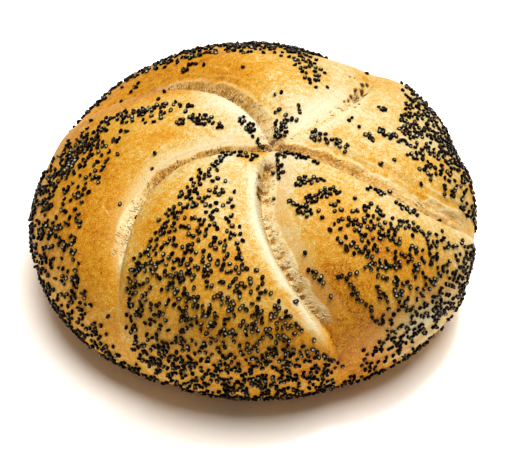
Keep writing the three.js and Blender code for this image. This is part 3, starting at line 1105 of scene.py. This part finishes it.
def markCrust():
    way, petal, across = (crustMarks[name] for name in ("way", "petal", "across"))

    def patch(number, middleWay, middleAcross, reachWay, reachAcross):
        spot = hump(way, middleWay, reachWay) * hump(across, middleAcross, reachAcross)
        return np.where(petal == number, spot, 0)

    bake = bakeLevel(way, across, petal)
    for *place, amount in browning["patches"]:
        bake = bake + amount * patch(*place)
    for number, (size, strength) in enumerate(browning["drift"]):
        bake = bake + strength * lumps(40 + number, *(crustVertices.T / size))
    addMark(crust, "bake", np.clip(bake, 0, 1))
    addMark(crust, "grey", patch(*browning["greyRim"]))
    # painted fill light: the crust low on the roll is made lighter to offset its shade
    addMark(crust, "paintedRimFill", smoothStep(way, *browning["paintedRimFill"]))
    for name in maskNames:
        addMark(crust, name, crustMarks[name])
    for name, size in zip(("fine", "coarse"), crustLook["fibreSize"]):
        addMark(crust, name, crustMarks[name] / size)
    # a ring of painted shadow, with some browning, darkens the crust around each seed
    tree = KDTree(len(seedPoints))
    for index, point in enumerate(seedPoints):
        tree.insert(point, index)
    tree.balance()
    distance = np.array([tree.find(vertex)[2] for vertex in crustVertices])
    start, width = browning["seedShadowRing"]
    addMark(crust, "seedShadowAndBrowning", hump(np.maximum(distance, start), start, width))


def connect(socket, value):
    # links the output of another node, or sets a plain value
    value = getattr(value, "socket", value)
    if isinstance(value, bpy.types.NodeSocket):
        socket.id_data.links.new(value, socket)
    else:
        socket.default_value = value


class Value:
    # the output of a node, so that sums of them can be written plainly
    def __init__(self, socket):
        self.socket = socket

    def work(self, operation, first, second):
        node = self.socket.id_data.nodes.new("ShaderNodeMath")
        node.operation = operation
        connect(node.inputs[0], first)
        connect(node.inputs[1], second)
        return Value(node.outputs[0])

    def __add__(self, other):
        return self.work("ADD", self, other)

    def __sub__(self, other):
        return self.work("SUBTRACT", self, other)

    def __mul__(self, other):
        return self.work("MULTIPLY", self, other)

    def __pow__(self, other):
        return self.work("POWER", self, other)

    def without(self, other):
        # what is left where the other one doesn't reach
        return self * self.work("SUBTRACT", 1.0, other)

    def most(self, other):
        return self.work("MAXIMUM", self, other)

    def clamped(self):
        self.socket.node.use_clamp = True
        return self

    def centred(self, strength):
        return (self - 0.5) * strength

    def above(self, level, strength):
        return ((self - level) * strength).clamped()


class Finish:
    # a new material with short ways to add its nodes
    def __init__(self, name, look):
        self.material = bpy.data.materials.new(name)
        self.material.use_nodes = True
        self.shader = self.material.node_tree.nodes["Principled BSDF"]
        self.shader.inputs["Roughness"].default_value = look["roughness"]
        self.shader.inputs["Specular IOR Level"].default_value = look["sheen"]
        self.position = self.node("NewGeometry").outputs["Position"]

    def node(self, kind, settings=None, **inputs):
        node = self.material.node_tree.nodes.new("ShaderNode" + kind)
        for name, value in (settings or {}).items():
            setattr(node, name, value)
        for name, value in inputs.items():
            connect(node.inputs[name], value)
        return node

    def mark(self, name):
        return Value(self.node("Attribute", {"attribute_name": name}).outputs["Fac"])

    def noise(self, size, detail=2.0, roughness=0.5):
        # size in millimetres
        scale = 1 / (size * metresPerMillimetre)
        node = self.node("TexNoise", Vector=self.position, Scale=scale, Detail=detail, Roughness=roughness)
        return Value(node.outputs["Fac"])

    def mix(self, share, first, second, blend="MIX"):
        node = self.node("Mix", {"data_type": "RGBA", "blend_type": blend})
        for index, value in ((0, share), (6, first), (7, second)):
            connect(node.inputs[index], value)
        return node.outputs[2]

    def ramp(self, share, stops):
        node = self.node("ValToRGB", Fac=share)
        elements = node.color_ramp.elements
        while len(elements) < len(stops):
            elements.new(0.5)
        for element, (position, color) in zip(elements, stops):
            element.position = position
            element.color = toned(*color)
        return node.outputs["Color"]

    def bump(self, height, strength, depth):
        node = self.node("Bump", Strength=strength, Distance=depth * metresPerMillimetre, Height=height)
        connect(self.shader.inputs["Normal"], node.outputs["Normal"])

    def put(self, color, *pieces):
        connect(self.shader.inputs["Base Color"], color)
        for piece in pieces:
            piece.data.materials.append(self.material)


# colours as they look, red, green and blue from 0 to 255, from the palest to the brownest; values over 255
# are painted light that lifts dough lying in the shade of a groove or low on the roll
crustLook = {
    "roughness": 0.60,
    "sheen": 0.10,
    "bump": (0.7, 0.14),             # strength, and depth in millimetres
    "fibreSize": (0.30, 0.75),       # across and along the torn fibres, in millimetres
    "bakes": [
        (0.00, (252, 243, 208)), (0.15, (245, 225, 164)), (0.32, (240, 197, 96)),
        (0.46, (237, 173, 44)), (0.62, (230, 156, 16)), (0.76, (212, 132, 6)),
        (0.88, (178, 104, 6)), (1.00, (134, 74, 8)),
    ],
    # the palest crumb stops go over 255: painted light lifting the torn dough out of the groove's shade
    "crumbs": [
        (0.00, (280, 262, 208)), (0.30, (264, 222, 144)), (0.55, (234, 180, 86)),
        (0.78, (190, 130, 46)), (1.00, (104, 60, 18)),
    ],
    "paintedFillFactor": (1.42, 1.35, 1.20, 1.0),    # what the colour is multiplied by where that painted fill light lifts the crust
    # the tones for the gaps and pits are painted shade, the one beside the seeds is painted shadow with
    # browning, and the glint is a painted highlight
    "tones": {
        "grey": (206, 196, 172), "flour": (250, 208, 150), "tanFlour": (256, 198, 124),
        "gap": (100, 60, 20), "edge": (272, 262, 226), "scratch": (262, 252, 220),
        "seedShadowAndBrowning": (160, 92, 16), "speck": (184, 122, 30), "paintedGlint": (262, 226, 130),
        "pit": (66, 34, 8),
    },
}


def crustFinish():
    finish = Finish("bakedCrust", crustLook)
    mark, noise, mix = finish.mark, finish.noise, finish.mix
    tones = {name: toned(*color) for name, color in crustLook["tones"].items()}
    grain = noise(0.24, 1.5, 0.6)
    speckle = noise(0.45, 2.0, 0.6)
    mottle = noise(1.1, 3.0, 0.6)
    fibrePlace = finish.node("CombineXYZ", X=mark("fine"), Y=mark("coarse")).outputs[0]
    fibre = finish.node("TexNoise", Vector=fibrePlace, Scale=1.0, Detail=3.0, Roughness=0.65)
    fibre = Value(fibre.outputs["Fac"])

    flour = (mark("flour") * (mottle.centred(1.4) + 0.75)).clamped()
    edge = (mark("edge") * (grain.centred(2.0) + 0.75)).clamped()
    grey = (mark("grey") * (mottle.centred(1.2) + 0.6)).clamped()
    pale = flour.without(mark("tan") * 0.6).most(edge).most(mark("scratch")).most(mark("grey") * 0.8)
    bake = mark("bake") + (grain.centred(1.1) + mottle.centred(0.8) + speckle.centred(0.5))
    color = finish.ramp(bake.clamped().without(pale), crustLook["bakes"])
    color = mix(grey, color, tones["grey"])
    # painted fill light lifting the shaded crust low on the roll
    color = mix(mark("paintedRimFill"), color, crustLook["paintedFillFactor"], "MULTIPLY")
    color = mix(flour * 0.7, color, mix(mark("tan"), tones["flour"], tones["tanFlour"]))

    # painted shade under the lip darkens the torn dough
    crumb = (fibre.centred(1.2) + speckle.centred(0.9)) * mark("rough") + mark("paintedShadeUnderLip") * 0.60
    crumb = (mark("toast") + crumb).clamped()
    color = mix(mark("torn"), color, finish.ramp(crumb, crustLook["crumbs"]))
    # painted shade: dark holes in the torn dough
    gap = (noise(0.55, 2.0, 0.6) + mark("paintedShadeUnderLip") * 0.12).above(0.63, 9.0)
    for name, share in (
        ("gap", gap * mark("gap")),
        ("edge", edge ** 1.6),
        ("scratch", mark("scratch") ** 2.0),
        # painted shadow and browning around the seeds
        ("seedShadowAndBrowning", mark("seedShadowAndBrowning") * 0.10),
        ("speck", noise(0.42, 0.0).above(0.66, 7.0) * 0.4),
        # painted glints: small bright specks that stand in for highlights
        ("paintedGlint", noise(0.36, 0.0).above(0.68, 7.0) * 0.5),
        # painted shade at the bottom of the torn holes
        ("pit", mark("pit")),
    ):
        color = mix(share, color, tones[name])
    finish.bump(grain + fibre * mark("torn"), *crustLook["bump"])
    finish.put(color, crust)


strandLook = {
    "roughness": 0.7,
    "sheen": 0.1,
    # the palest stop goes over 255: painted light lifting the fibres out of the groove's shade
    "tones": [
        (0.00, (268, 246, 192)), (0.35, (250, 214, 140)), (0.65, (222, 170, 92)), (1.00, (150, 98, 38)),
    ],
}


def strandFinish():
    finish = Finish("tornCrumb", strandLook)
    tone = (finish.mark("tone") + finish.noise(0.4).centred(0.5)).clamped()
    finish.put(finish.ramp(tone, strandLook["tones"]), strands, crumbs)


seedLook = {
    "roughness": 0.30,
    "sheen": 0.03,
    "pitSize": 0.16,                 # of the seed coat's cells, in millimetres
    "bump": (0.35, 0.04),
    "shades": (0.15, 0.95),          # shades at which a kind has its first and its last colour
}


def seedFinish(piece, coats, hollowTintsAndHighlights):
    finish = Finish(piece.name + "Coat", seedLook)
    pitScale = 1 / (seedLook["pitSize"] * metresPerMillimetre)
    pits = finish.node("TexVoronoi", Vector=finish.position, Scale=pitScale)
    shade = finish.mark("seedShade") * 0.8 + finish.noise(0.5) * 0.2
    coat = finish.ramp(shade, list(zip(seedLook["shades"], coats)))
    hollow = finish.ramp(shade, list(zip(seedLook["shades"], hollowTintsAndHighlights)))
    finish.bump(pits.outputs["Distance"], *seedLook["bump"])
    # the hollow on top is a paler tint with a painted highlight mixed into it
    finish.put(finish.mix(finish.mark("hollow").above(0.3, 2.2), coat, hollow), piece)


markCrust()
crustFinish()
strandFinish()
for piece in (strands, crumbs):
    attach(piece, "root")
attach(crust, "root")
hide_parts("roll")
for piece, coats, hollowTintsAndHighlights in seedPieces:
    seedFinish(piece, coats, hollowTintsAndHighlights)
    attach(piece, "root")

print("done")
